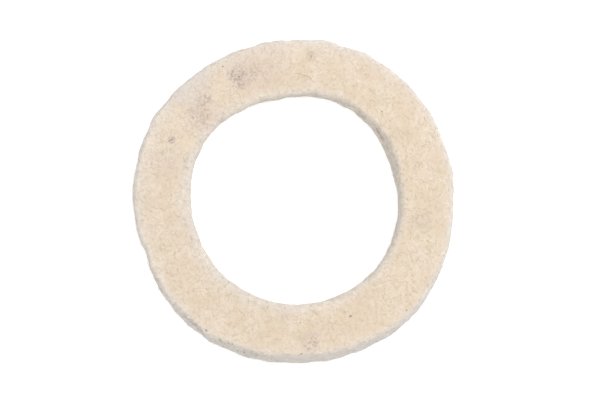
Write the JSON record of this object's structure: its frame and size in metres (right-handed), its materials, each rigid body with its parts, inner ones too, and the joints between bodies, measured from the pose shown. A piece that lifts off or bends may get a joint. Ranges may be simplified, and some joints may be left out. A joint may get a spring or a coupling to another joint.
{
  "type": "felt polishing wheel",
  "caption": "Flat ring of pressed cream wool felt with a plain round bore, soft cut edges and a round rim, for polishing stones on a hub.",
  "frame": {"origin": "centre of the underside, on the axis of the bore, so that the ring lies on z = 0", "axes": "+Z along the bore axis, up from the underside; the ring is round, so +X and +Y are any two directions across it"},
  "size_m": [0.1, 0.1, 0.01],
  "materials": {
    "wool_felt": "matte pressed wool felt, cream, with curly surface fibres"
  },
  "bodies": {
    "root": {"felt_ring": "wool_felt"}
  },
  "joints": []
}
